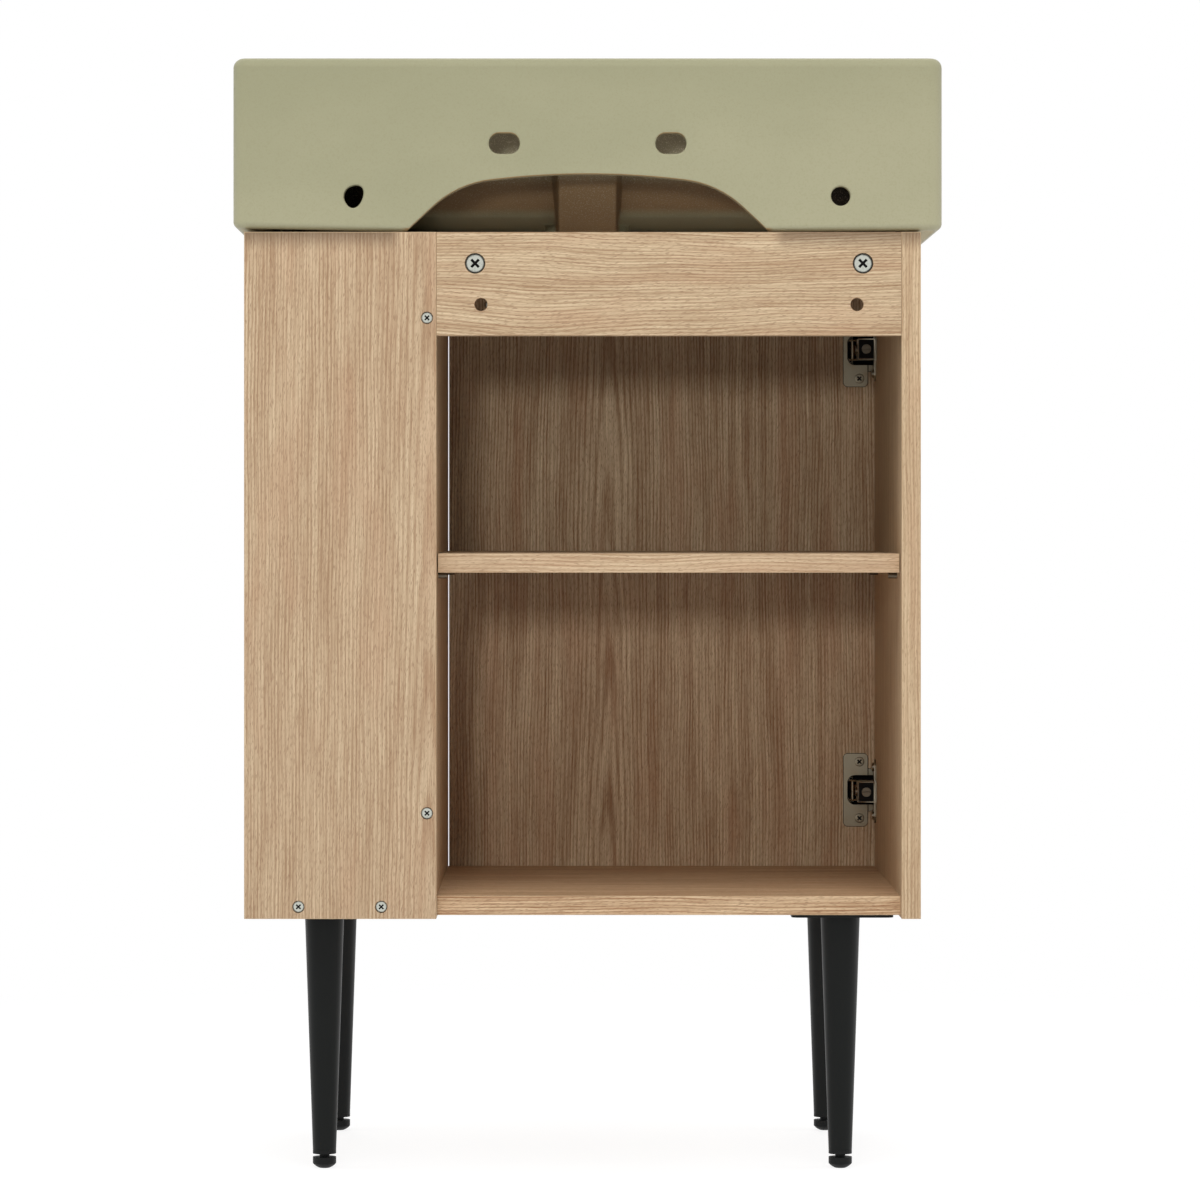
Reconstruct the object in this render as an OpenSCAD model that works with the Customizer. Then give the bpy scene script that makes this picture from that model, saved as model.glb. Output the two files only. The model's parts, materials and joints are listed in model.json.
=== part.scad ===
// Small vanity unit: a ceramic basin on an oak board cabinet with a door,
// an open niche of shelves beside it, and four tapered legs.
// Millimetres. The origin is on the floor, under the middle of the basin.
// The back, with the wall fixings, faces +Y and the door faces -Y.

/* [Basin] */
// Width of the basin
basin_w = 554; // [520:1:640]
// Depth of the basin, back to front
basin_d = 420; // [410:1:460]
// Height of the basin
basin_h = 136; // [125:1:180]
// Radius of the basin's upright corners
basin_corner = 12; // [8:1:20]
// Radius of the basin's long edges
basin_edge = 7.5; // [2:0.5:9]
// Radius of the long edges round the basin's foot
foot_edge = 5.5; // [2:0.5:7]
// Thickness of the basin's apron walls
basin_wall = 12; // [9:1:18]
// Thickness of the basin's rim and tap ledge
rim_t = 14; // [10:1:20]
// Width of the foot flange that turns in along the sides
side_flange = 36; // [34:1:48]
// Width of the foot flange that turns in along the front
front_flange = 50; // [46:1:60]
// Thickness of the foot flange
flange_t = 12; // [8:1:16]
// Width of the bowl at its rim
bowl_w = 500; // [420:1:508]
// Depth of the bowl at its rim, back to front
bowl_d = 296; // [250:1:300]
// Height from the rim to the floor of the bowl
bowl_depth = 107; // [80:1:110]
// Corner radius of the bowl at its rim
bowl_corner = 60; // [45:1:90]
// Lean of the bowl's walls from upright, in degrees
bowl_lean = 10; // [4:1:14]
// Radius where the bowl's walls meet its floor
bowl_round = 30; // [15:1:34]
// Thickness of the bowl's shell
bowl_t = 10; // [8:1:13]
// Distance from the basin's front to the bowl's front edge
bowl_front = 20; // [18:1:22]
// Diameter of the tap hole
tap_hole_d = 35; // [30:1:38]
// Distance from the basin's back to the middle of the tap hole
tap_hole_back = 50; // [40:1:60]
// Diameter of the drain hole
drain_d = 45; // [40:1:52]
// Diameter of the overflow hole
overflow_d = 22; // [16:1:26]
// Height from the basin's rim to the middle of the overflow hole
overflow_drop = 32; // [24:1:40]
// Width of the overflow duct's face behind the bowl
duct_w = 46; // [36:1:60]

/* [Openings in the basin's back] */
// Width of the arch over the pipes, at its foot
arch_w = 284; // [240:1:300]
// Height of the arch
arch_h = 45; // [38:1:52]
// Width of the arch's shallow crown
crown_w = 152; // [120:1:160]
// Radius of the arch's shallow crown
crown_r = 620; // [560:10:700]
// Radius of the arch's shoulders
shoulder_r = 81; // [70:1:90]
// Distance between the two oblong slots
slot_pitch = 130; // [100:1:150]
// Width of an oblong slot
slot_w = 24; // [18:1:30]
// Height of an oblong slot
slot_h = 16; // [12:1:18]
// Height of the slots' middle above the basin's foot
slot_rise = 69; // [64:1:80]
// Distance between the two round holes
hole_pitch = 380; // [320:1:420]
// Diameter of a round hole
hole_d = 15; // [10:1:18]
// Height of the round holes' middle above the basin's foot
hole_rise = 28; // [20:1:40]
// Sideways shift of the pair of round holes
hole_shift = -7.5; // [-10:0.5:0]

/* [Cabinet] */
// Height of the legs, floor to the underside of the bottom board
leg_height = 203; // [170:1:260]
// Width of the cabinet over its outer faces
cabinet_w = 528; // [520:1:545]
// Sideways shift of the cabinet under the basin
cabinet_shift = 4; // [0:1:6]
// Height of the side panel
panel_h = 536; // [500:1:620]
// Depth of the side panel
side_d = 382; // [370:1:384]
// Thickness of every board
board_t = 15; // [14:1:18]
// Drop of the upright panels below the bottom board
panel_drop = 2; // [0:0.5:4]
// Clear width of the open niche
niche_w = 135; // [120:1:150]
// Height of the rail across the back
rail_h = 81; // [70:1:100]
// Depth of the flat rail across the front
front_rail_d = 60; // [50:1:70]
// Height of the inner shelf's underside above the bottom board
shelf_rise = 253; // [230:1:280]
// Play at each end of the inner shelf
shelf_play = 0.75; // [0.5:0.25:1.5]
// Set-back of the inner shelf from the side panel's front edge
shelf_set_back = 5; // [3:1:20]
// Distance between the holes for fixing to the wall
wall_hole_pitch = 293.4; // [260:0.1:296]
// Diameter of the holes for fixing to the wall
wall_hole_d = 10; // [8:0.5:11]
// Drop of the wall holes below the top of the rail
wall_hole_drop = 56.6; // [54:0.1:60]

/* [Door] */
// Gap behind the door, filled by the bumpers
door_gap = 2; // [1.8:0.1:2.4]
// Set-in of the door from the cabinet's outer face
door_side_reveal = 1; // [0.5:0.5:2]
// Gap between the door and the divider
door_reveal = 1; // [1:0.5:4]
// Gap above the door
door_top_reveal = 2; // [1.5:0.5:4]
// Rise of the door's lower edge above the side panel's
door_foot_reveal = 3; // [2:0.5:6]
// Distance from the door's ends to the hinges
hinge_inset = 78.5; // [70:0.5:100]
// Diameter of the knob
knob_d = 24; // [18:1:30]
// Stand-off of the knob from the door
knob_l = 19; // [15:1:20]
// Distance from the door's free edge to the knob
knob_inset = 35; // [25:1:60]
// Drop of the knob below the door's top edge
knob_drop = 40; // [30:1:50]

/* [Hinges] */
// Distance of the turning axis from the door's edge
axis_inset = 4.6; // [4:0.1:5]
// Distance of the turning axis from the door's inner face
axis_depth = 7.5; // [7.5:0.1:8.5]
// Diameter of the hinge cup
cup_d = 35; // [35:1:36]
// Depth of the hinge cup
cup_depth = 11.5; // [11.5:0.5:12]
// Distance from the door's edge to the middle of the cup
cup_inset = 20.8; // [20.8:0.1:22]
// Height of the cup's wing plate
wing_h = 62.5; // [60:0.5:66]
// Width of the cup's wing plate
wing_w = 21.2; // [20:0.2:24]
// Distance between the wing plate's two screws
wing_screw_pitch = 48; // [48:0.5:50]
// Width of the hinge arm, along the axis
arm_w = 17.5; // [17:0.5:19]
// Distance from the turning axis to the mounting plate's screws
plate_screw_reach = 31; // [30:1:34]
// Height of the mounting plate
plate_h = 54; // [52:1:60]
// Radius of the guide on which the hinge links slide
guide_r = 28; // [28:0.1:28.4]

/* [Legs] */
// Distance between the legs, side to side
leg_pitch_x = 408; // [380:1:420]
// Distance from the back to the axis of the rear legs
leg_back = 60; // [56:1:70]
// Distance between the legs, back to front
leg_pitch_y = 264; // [240:1:270]
// Width of a leg's square plate
leg_plate_w = 80; // [74:1:84]
// Thickness of a leg's plate
leg_plate_t = 2.5; // [2:0.5:4]
// Distance between the plate's screws
leg_screw_pitch = 62; // [58:1:64]
// Diameter of a leg at the top
leg_top_d = 31; // [26:1:36]
// Diameter of a leg at the bottom
leg_foot_d = 18.5; // [16:0.5:22]
// Wall of the leg's tube
leg_wall = 1.6; // [1.2:0.2:2]
// Height of a levelling foot's pad
pad_h = 8.7; // [7:0.1:10]
// Gap between the pad and the leg
pad_gap = 2.6; // [2.2:0.1:4]
// Diameter of a levelling foot's screw
stem_d = 8; // [6:1:8]

/* [Hidden] */
$fn = 48;

// Small overlap that makes a cut run clear of a face
cut = 1;
// Play round a pin or a dowel in its hole, on the diameter
pin_play = 0.1;
// Play round a sunk screw head, on the diameter
head_play = 0.6;

// Levels, from the floor up
board_z = leg_height;
bay_floor_z = board_z + board_t;
panel_z = leg_height - panel_drop;
top_z = panel_z + panel_h;
rail_z = top_z - rail_h;
door_z0 = panel_z + door_foot_reveal;
door_z1 = top_z - door_top_reveal;
shelf_z = bay_floor_z + shelf_rise;
niche_tier = (top_z - board_t - bay_floor_z - 2 * board_t) / 3;
niche_shelf_z = [bay_floor_z + niche_tier, bay_floor_z + 2 * niche_tier + board_t];
hinge_z = [door_z0 + hinge_inset, door_z1 - hinge_inset];

// Places from back to front
back_y = basin_d / 2;
inset_back_y = back_y - board_t;
side_front_y = back_y - side_d;
door_in_y = side_front_y - door_gap;
door_out_y = door_in_y - board_t;

// Places from the hinge side to the niche side
left_x = cabinet_shift - cabinet_w / 2;
right_x = cabinet_shift + cabinet_w / 2;
side_in_x = left_x + board_t;
niche_x = right_x - niche_w;
bay_x = niche_x - board_t;
bay_mid_x = (side_in_x + bay_x) / 2;
door_x0 = left_x + door_side_reveal;
door_x1 = bay_x - door_reveal;
axis_x = door_x0 + axis_inset;
axis_y = door_in_y - axis_depth;

// Dowels: diameter, length in a board's face and in the next board's end
dowel_d = 8;
dowel_face_l = 10;
dowel_end_l = 20;
bay_dowel_back = [45, 340];
niche_dowel_back = [60, 310];
front_rail_dowel_in = 17;
rail_dowel_drop = [43, 13];
bay_dowel_y = [for (back = bay_dowel_back) back_y - back];
niche_dowel_y = [for (back = niche_dowel_back) back_y - back];
front_rail_dowel_y = [
    side_front_y + front_rail_dowel_in,
    side_front_y + front_rail_d - front_rail_dowel_in
];
rail_dowel_z = [for (drop = rail_dowel_drop) top_z - drop];

// Cam fittings of the bottom board and the front rail
cam_d = 15;
cam_h = 12.5;
cam_slot_w = 2;
cam_slot_depth = 1.5;
cam_reach = 24;
cam_bolt_d = 6;
cam_bolt_face_l = 10;
bottom_cam_back = [150, 250];
bottom_cam_y = [for (back = bottom_cam_back) back_y - back];
front_rail_cam_y = side_front_y + front_rail_d / 2;

// Screws in the back
niche_screw_d = 4;
niche_screw_l = 40;
niche_screw_head_d = 8.5;
niche_screw_head_h = 1.2;
niche_screw_edge = 7.3;
niche_screw_drop = 67;
niche_screw_rise = 82.5;
niche_screw_outer_in = 42.4;
niche_screw_inner_in = 107;
niche_screw_spots = [
    [bay_x + niche_screw_edge, top_z - niche_screw_drop],
    [bay_x + niche_screw_edge, panel_z + niche_screw_rise],
    [right_x - niche_screw_outer_in, board_z + board_t / 2],
    [right_x - niche_screw_inner_in, board_z + board_t / 2]
];
rail_screw_pitch = 302.6;
rail_screw_drop = 24.5;
rail_screw_z = top_z - rail_screw_drop;
rail_screw_d = 5;
rail_screw_head_d = 15;
rail_screw_head_h = 2.4;
rail_screw_spots = [bay_mid_x - rail_screw_pitch / 2, bay_mid_x + rail_screw_pitch / 2];

// Steel angles in the corners behind the rail
bracket_t = 2.5;
bracket_h = 20;
bracket_rail_l = 45;
bracket_side_l = 35;
bracket_screw_d = 3.5;
bracket_screw_back = [12, 25];

// Pins under the inner shelf
shelf_pin_d = 5;
shelf_pin_in = 9;
shelf_pin_out = 7;
shelf_pin_back = [60, 330];
shelf_pin_y = [for (back = shelf_pin_back) back_y - back];

// Hinge parts, measured from the turning axis
cup_u = cup_inset - axis_inset;
cup_wall = 1;
cup_rim_d = cup_d + 2;
wing_t = 1.2;
wing_edge_u = cup_u - 1.3;
wing_screw_u = cup_u + 6;
mouth_h = 24.4;
mouth_end_u = cup_u + 15.9;
panel_u = side_in_x - axis_x;
plate_t = 1.8;
plate_v = [18, 48];
ear_w = 13;
ear_screw_z = plate_h / 2 - ear_w / 2;
sheet_t = 1.2;
arm_top_u = 25.4;
arm_end_v = 46;
web_v = 17.8;
link_half = 1.5;
outer_link_w = 9.2;
outer_link_gap = 6;
outer_link_gap_from = -20;
outer_link_gap_to = 80;
inner_link_w = 5.2;
link_end_angle = 60;
outer_link_start_angle = 1.5;
hinge_pin_d = 2;
guide_pin_d = 2.4;
cup_pin_v = -0.9;
inner_guide_angle = 8;
outer_guide_angle = 24;

// Legs and feet
leg_x = [cabinet_shift - leg_pitch_x / 2, cabinet_shift + leg_pitch_x / 2];
leg_y = [back_y - leg_back, back_y - leg_back - leg_pitch_y];
leg_z = pad_h + pad_gap;
leg_plate_z = board_z - leg_plate_t;
plug_lip_h = 2.8;
plug_in_l = 20;
stem_l = 24;
leg_screw_d = 4;
leg_screw_l = 11;

oak = [0.76, 0.65, 0.52];
sage = [0.67, 0.66, 0.53];
black = [0.13, 0.14, 0.14];
nickel = [0.62, 0.60, 0.54];
zinc = [0.75, 0.76, 0.72];
beech = [0.82, 0.70, 0.52];
rubber = [0.85, 0.86, 0.84];

// A box between two corners
module box(lo, hi) {
    translate(lo) cube([hi.x - lo.x, hi.y - lo.y, hi.z - lo.z]);
}

// A solid whose outline runs round a rectangle of corner centres.
// The outline's x is measured outwards from the corner centres.
module swept_round(half_w, half_d, h) {
    for (x = [-half_w, half_w])
        for (y = [-half_d, half_d])
            translate([x, y, 0]) rotate_extrude($fn = 96) children(0);
    rotate([90, 0, 0])
        linear_extrude(2 * half_d, center = true)
            stretched_outline(half_w, h) children(0);
    rotate([90, 0, 90])
        linear_extrude(2 * half_w, center = true)
            stretched_outline(half_d, h) children(0);
}

// The same outline on both ends of a bar
module stretched_outline(half_l, h) {
    for (side = [0, 1])
        mirror([side, 0]) translate([half_l, 0]) children(0);
    translate([-half_l, 0]) square([2 * half_l, h]);
}

// Outline of a block's side, with round edges above and below
module edge_outline(r, h, top_edge, low_edge) {
    translate([0, low_edge]) square([r, h - low_edge - top_edge]);
    square([r - low_edge, h / 2]);
    translate([0, h / 2]) square([r - top_edge, h / 2]);
    intersection() {
        union() {
            translate([r - low_edge, low_edge]) circle(low_edge);
            translate([r - top_edge, h - top_edge]) circle(top_edge);
        }
        square([r, h]);
    }
}

// Outline of a leaning wall that curves into a floor.
// The wall is rim_r out at the height rim_z, and stands up to the height top.
module pan_outline(rim_r, rim_z, top, lean, floor_r) {
    foot = rim_r - rim_z * tan(lean);
    turn = foot - floor_r * (1 - sin(lean)) / cos(lean);
    polygon([
        [0, 0],
        [turn, 0],
        [turn + floor_r * cos(lean), floor_r - floor_r * sin(lean)],
        [rim_r - (rim_z - top) * tan(lean), top],
        [0, top]
    ]);
    intersection() {
        translate([turn, floor_r]) circle(floor_r, $fn = 96);
        square([rim_r, top]);
    }
}

// A rounded rectangle with its middle on the origin
module rounded_rectangle(w, h, r) {
    square([w - 2 * r, h], center = true);
    square([w, h - 2 * r], center = true);
    for (x = [-w / 2 + r, w / 2 - r])
        for (y = [-h / 2 + r, h / 2 - r])
            translate([x, y]) circle(r);
}

// A slot with full round ends, with its middle on the origin
module slot_outline(w, h) {
    square([w - h, h], center = true);
    for (side = [-1, 1])
        translate([side * (w - h) / 2, 0]) circle(d = h);
}

// An upright outline pushed through from y0 to y1
module along_y(y0, y1) {
    translate([0, y1, 0]) rotate([90, 0, 0]) linear_extrude(y1 - y0) children();
}

// An upright outline, drawn back to front, pushed through from x0 to x1
module along_x(x0, x1) {
    translate([x0, 0, 0]) rotate([90, 0, 90]) linear_extrude(x1 - x0) children();
}

// A screw with a cross recess. Its head stands on z = 0 and its shank goes down.
module cross_screw(head_d, head_h, shank_d, shank_l) {
    difference() {
        union() {
            cylinder(h = head_h / 2, d = head_d);
            translate([0, 0, head_h / 2])
                cylinder(h = head_h / 2, d1 = head_d, d2 = head_d * 0.78);
            translate([0, 0, -shank_l]) cylinder(h = shank_l + head_h / 4, d = shank_d);
        }
        for (turn = [45, 135])
            rotate(turn)
                translate([0, 0, head_h])
                    cube([head_d * 0.56, head_d * 0.13, head_h * 1.3], center = true);
    }
}

// The hole that such a screw runs in
module screw_hole(shank_d, shank_l) {
    translate([0, 0, -shank_l]) cylinder(h = shank_l + cut, d = shank_d + pin_play);
}

// The seat that sinks its head into a board
module screw_seat(head_d, head_h) {
    cylinder(h = head_h + cut, d = head_d + head_play);
}

// A screw with a flat, countersunk head. The head's face is at z = 0.
module flat_screw(head_d, head_h, shank_d, shank_l) {
    difference() {
        union() {
            translate([0, 0, -head_h]) cylinder(h = head_h, d1 = shank_d, d2 = head_d);
            translate([0, 0, -shank_l]) cylinder(h = shank_l - head_h / 2, d = shank_d);
        }
        for (turn = [45, 135])
            rotate(turn)
                cube([head_d * 0.56, head_d * 0.13, head_h * 1.1], center = true);
    }
}

// Turns a screw's head to the back, the front, the right, the left or down
module facing_back() { rotate([-90, 0, 0]) children(); }
module facing_front() { rotate([90, 0, 0]) children(); }
module facing_right() { rotate([0, 90, 0]) children(); }
module facing_left() { rotate([0, -90, 0]) children(); }
module facing_down() { rotate([180, 0, 0]) children(); }

// Basin

bowl_mid_y = -basin_d / 2 + bowl_front + bowl_d / 2;
bowl_floor_z = basin_h - bowl_depth;
bowl_back_y = bowl_mid_y + bowl_d / 2;
rim_under_z = basin_h - rim_t;
duct_t = 20;
duct_wall = 7;
duct_flank_foot = 3;
duct_flank_top = 10;
duct_bend = 46;
drain_boss_h = 15;
drain_boss_wall = 12;
drain_seat_h = 4;
drain_seat_d = drain_d + 20;
duct_foot_z = bowl_floor_z - bowl_t - drain_boss_h;
foot_lean = 43;

module bowl_space() {
    translate([0, bowl_mid_y, bowl_floor_z])
        swept_round(bowl_w / 2 - bowl_corner, bowl_d / 2 - bowl_corner, bowl_depth + cut)
            pan_outline(bowl_corner, bowl_depth, bowl_depth + cut, bowl_lean, bowl_round);
}

module bowl_body() {
    h = bowl_depth + bowl_t - rim_t / 2;
    translate([0, bowl_mid_y, bowl_floor_z - bowl_t])
        swept_round(bowl_w / 2 - bowl_corner, bowl_d / 2 - bowl_corner, h)
            pan_outline(
                bowl_corner + bowl_t / cos(bowl_lean), bowl_depth + bowl_t, h,
                bowl_lean, bowl_round + bowl_t
            );
}

// Side view of the overflow duct, drawn in by a margin all round
module duct_outline(margin) {
    back = bowl_back_y + bowl_t + duct_t - margin;
    foot = duct_foot_z + margin;
    bend = duct_bend - margin;
    top = rim_under_z + rim_t / 2;
    polygon([
        [bowl_mid_y, top],
        [bowl_mid_y, foot],
        for (a = [-90 : 10 : 0]) [back - bend + bend * cos(a), foot + bend + bend * sin(a)],
        [back, top]
    ]);
}

// The duct narrows from its root on the bowl to its face, and its root widens upwards
module overflow_duct() {
    foot_half = duct_w / 2 + duct_flank_foot;
    top_half = duct_w / 2 + duct_flank_top;
    hull() {
        along_x(-duct_w / 2, duct_w / 2) duct_outline(0);
        along_x(-foot_half, foot_half) duct_outline(duct_t);
        along_x(-top_half, top_half)
            translate([bowl_back_y, rim_under_z]) square([bowl_t, rim_t / 2]);
    }
}

module duct_passage() {
    difference() {
        along_x(-duct_w / 2 + duct_wall, duct_w / 2 - duct_wall)
            intersection() {
                duct_outline(duct_wall);
                translate([bowl_mid_y, 0]) square([bowl_d, rim_under_z]);
            }
        bowl_body();
    }
}

// Front view of the arch: a shallow crown, round shoulders and straight feet
module arch_outline() {
    lean = asin(crown_w / 2 / crown_r);
    shoulder = [
        (crown_r - shoulder_r) * sin(lean),
        arch_h - crown_r + (crown_r - shoulder_r) * cos(lean)
    ];
    spring = [
        shoulder.x + shoulder_r * sin(foot_lean),
        shoulder.y + shoulder_r * cos(foot_lean)
    ];
    intersection() {
        translate([0, arch_h - crown_r]) circle(crown_r, $fn = 360);
        translate([-crown_w / 2, -cut]) square([crown_w, arch_h + 2 * cut]);
    }
    for (side = [0, 1])
        mirror([side, 0]) {
            intersection() {
                translate(shoulder) circle(shoulder_r, $fn = 180);
                translate([shoulder.x, -cut])
                    square([spring.x - shoulder.x, arch_h + 2 * cut]);
            }
            polygon([
                [shoulder.x, -cut],
                [arch_w / 2 + cut, -cut],
                [arch_w / 2, 0],
                spring,
                [shoulder.x, spring.y]
            ]);
        }
}

module back_openings() {
    along_y(back_y - basin_wall - cut, back_y + cut) {
        arch_outline();
        for (side = [-1, 1])
            translate([side * slot_pitch / 2, slot_rise])
                slot_outline(slot_w, slot_h);
        for (side = [-1, 1])
            translate([hole_shift + side * hole_pitch / 2, hole_rise]) circle(d = hole_d);
    }
}

module basin_underside() {
    box(
        [-basin_w / 2 + side_flange, -basin_d / 2 + front_flange, -cut],
        [basin_w / 2 - side_flange, basin_d / 2 - basin_wall, flange_t]
    );
    box(
        [-basin_w / 2 + basin_wall, -basin_d / 2 + basin_wall, flange_t],
        [basin_w / 2 - basin_wall, basin_d / 2 - basin_wall, rim_under_z]
    );
}

module basin() {
    color(sage)
        translate([0, 0, top_z])
            difference() {
                union() {
                    difference() {
                        swept_round(
                            basin_w / 2 - basin_corner, basin_d / 2 - basin_corner, basin_h
                        )
                            edge_outline(basin_corner, basin_h, basin_edge, foot_edge);
                        basin_underside();
                    }
                    bowl_body();
                    overflow_duct();
                    translate([0, bowl_mid_y, duct_foot_z])
                        cylinder(h = bowl_t + drain_boss_h, d = drain_d + 2 * drain_boss_wall);
                }
                bowl_space();
                duct_passage();
                translate([0, bowl_mid_y, duct_foot_z - cut])
                    cylinder(h = bowl_depth, d = drain_d, $fn = 96);
                translate([0, bowl_mid_y, bowl_floor_z - drain_seat_h])
                    cylinder(h = drain_seat_h, d1 = drain_d, d2 = drain_seat_d, $fn = 96);
                translate([0, back_y - tap_hole_back, rim_under_z - cut])
                    cylinder(h = rim_t + 2 * cut, d = tap_hole_d, $fn = 96);
                translate([0, bowl_mid_y, basin_h - overflow_drop])
                    facing_back() cylinder(h = bowl_d / 2 + bowl_t, d = overflow_d);
                back_openings();
            }
}

// Boards

board_mid_z = board_z + board_t / 2;
rail_mid_y = inset_back_y + board_t / 2;
niche_board_z = [board_z, niche_shelf_z[0], niche_shelf_z[1], top_z - board_t];

// Each dowel: the face it stands in, its way out of that face, and its height and depth
dowel_spots = [
    for (y = bay_dowel_y) [side_in_x, 1, y, board_mid_z],
    for (y = bay_dowel_y) [bay_x, -1, y, board_mid_z],
    for (z = niche_board_z) for (y = niche_dowel_y) [niche_x, 1, y, z + board_t / 2],
    for (y = front_rail_dowel_y) [side_in_x, 1, y, top_z - board_t / 2],
    for (y = front_rail_dowel_y) [bay_x, -1, y, top_z - board_t / 2],
    for (z = rail_dowel_z) [side_in_x, 1, rail_mid_y, z],
    for (z = rail_dowel_z) [bay_x, -1, rail_mid_y, z]
];

// Each cam fitting: the face its bolt stands in, its way out, its place and height
cam_spots = [
    for (y = bottom_cam_y) [side_in_x, 1, y, board_mid_z],
    for (y = bottom_cam_y) [bay_x, -1, y, board_mid_z],
    [side_in_x, 1, front_rail_cam_y, top_z - board_t / 2],
    [bay_x, -1, front_rail_cam_y, top_z - board_t / 2]
];

// A rod along x that stands face_l deep in a face and end_l out of it
module cross_rod(spot, d, face_l, end_l) {
    translate([spot[0] - spot[1] * face_l, spot[2], spot[3]])
        rotate([0, spot[1] * 90, 0]) cylinder(h = face_l + end_l, d = d);
}

module dowel_holes() {
    for (spot = dowel_spots)
        cross_rod(spot, dowel_d + pin_play, dowel_face_l + pin_play, dowel_end_l + pin_play);
}

module cam_holes() {
    for (spot = cam_spots) {
        cross_rod(spot, cam_bolt_d + pin_play, cam_bolt_face_l + pin_play, cam_reach);
        translate([spot[0] + spot[1] * cam_reach, spot[2], spot[3] - board_t / 2 - cut])
            cylinder(h = cam_h + cut + pin_play, d = cam_d + pin_play);
    }
}

module shelf_pin_holes() {
    for (y = shelf_pin_y) {
        cross_rod([side_in_x, 1, y, shelf_z - shelf_pin_d / 2],
            shelf_pin_d + pin_play, shelf_pin_in + pin_play, cut);
        cross_rod([bay_x, -1, y, shelf_z - shelf_pin_d / 2],
            shelf_pin_d + pin_play, shelf_pin_in + pin_play, cut);
    }
}

module at_niche_back_screws() {
    for (spot = niche_screw_spots)
        translate([spot[0], back_y - niche_screw_head_h, spot[1]]) facing_back() children();
}

module at_rail_screws() {
    for (x = rail_screw_spots)
        translate([x, back_y - rail_screw_head_h, rail_screw_z]) facing_back() children();
}

module at_side_bracket_screws() {
    for (back = bracket_screw_back)
        translate([side_in_x + bracket_t, inset_back_y - back, rail_screw_z])
            facing_right() children();
}

module at_divider_bracket_screws() {
    for (back = bracket_screw_back)
        translate([bay_x - bracket_t, inset_back_y - back, rail_screw_z])
            facing_left() children();
}

module at_mounting_plate_screws() {
    for (z = hinge_z)
        for (side = [-1, 1])
            translate([side_in_x + plate_t, axis_y + plate_screw_reach, z + side * ear_screw_z])
                facing_right() children();
}

module at_leg_screws() {
    for (x = leg_x)
        for (y = leg_y)
            for (dx = [-1, 1])
                for (dy = [-1, 1])
                    translate([
                        x + dx * leg_screw_pitch / 2, y + dy * leg_screw_pitch / 2, leg_plate_z
                    ])
                        facing_down() children();
}

niche_screw_hole_l = niche_screw_l + pin_play;
bracket_screw_l = bracket_t + 10;
bracket_screw_head_d = 7;
bracket_screw_head_h = 1.8;
rail_screw_l = board_t + bracket_t + 2;
plate_screw_d = 4.5;
plate_screw_l = plate_t + 11;
plate_screw_head_d = 7.5;
plate_screw_head_h = 2;

module hinge_side_panel() {
    color(oak)
        difference() {
            box([left_x, side_front_y, panel_z], [side_in_x, back_y, top_z]);
            dowel_holes();
            cam_holes();
            shelf_pin_holes();
            at_side_bracket_screws() screw_hole(bracket_screw_d, bracket_screw_l);
            at_mounting_plate_screws() screw_hole(plate_screw_d, plate_screw_l);
        }
}

module divider_panel() {
    color(oak)
        difference() {
            box([bay_x, door_out_y, panel_z], [niche_x, inset_back_y, top_z]);
            dowel_holes();
            cam_holes();
            shelf_pin_holes();
            at_divider_bracket_screws() screw_hole(bracket_screw_d, bracket_screw_l);
            at_niche_back_screws() screw_hole(niche_screw_d, niche_screw_hole_l);
        }
}

module niche_back_panel() {
    color(oak)
        difference() {
            box([bay_x, inset_back_y, panel_z], [right_x, back_y, top_z]);
            dowel_holes();
            at_niche_back_screws() {
                screw_hole(niche_screw_d, niche_screw_hole_l);
                screw_seat(niche_screw_head_d, niche_screw_head_h);
            }
        }
}

module bottom_panel() {
    color(oak)
        difference() {
            box([side_in_x, side_front_y, board_z], [bay_x, inset_back_y, bay_floor_z]);
            dowel_holes();
            cam_holes();
            at_leg_screws() screw_hole(leg_screw_d, leg_plate_t + leg_screw_l);
        }
}

module niche_board(z) {
    color(oak)
        difference() {
            box([niche_x, door_out_y, z], [right_x, inset_back_y, z + board_t]);
            dowel_holes();
            at_niche_back_screws() screw_hole(niche_screw_d, niche_screw_hole_l);
            at_leg_screws() screw_hole(leg_screw_d, leg_plate_t + leg_screw_l);
        }
}

module niche_bottom_panel() { niche_board(niche_board_z[0]); }
module niche_lower_shelf() { niche_board(niche_board_z[1]); }
module niche_upper_shelf() { niche_board(niche_board_z[2]); }
module niche_top_panel() { niche_board(niche_board_z[3]); }

module rear_rail() {
    color(oak)
        difference() {
            box([side_in_x, inset_back_y, rail_z], [bay_x, back_y, top_z]);
            dowel_holes();
            at_rail_screws() {
                screw_hole(rail_screw_d, board_t);
                screw_seat(rail_screw_head_d, rail_screw_head_h);
            }
            for (side = [-1, 1])
                translate([
                    bay_mid_x + side * wall_hole_pitch / 2, back_y, top_z - wall_hole_drop
                ])
                    facing_back() screw_hole(wall_hole_d - pin_play, board_t + cut);
        }
}

module front_rail() {
    color(oak)
        difference() {
            box(
                [side_in_x, side_front_y, top_z - board_t],
                [bay_x, side_front_y + front_rail_d, top_z]
            );
            dowel_holes();
            cam_holes();
        }
}

module inner_shelf() {
    color(oak)
        box(
            [side_in_x + shelf_play, side_front_y + shelf_set_back, shelf_z],
            [bay_x - shelf_play, inset_back_y, shelf_z + board_t]
        );
}

// Fasteners of the cabinet

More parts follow.
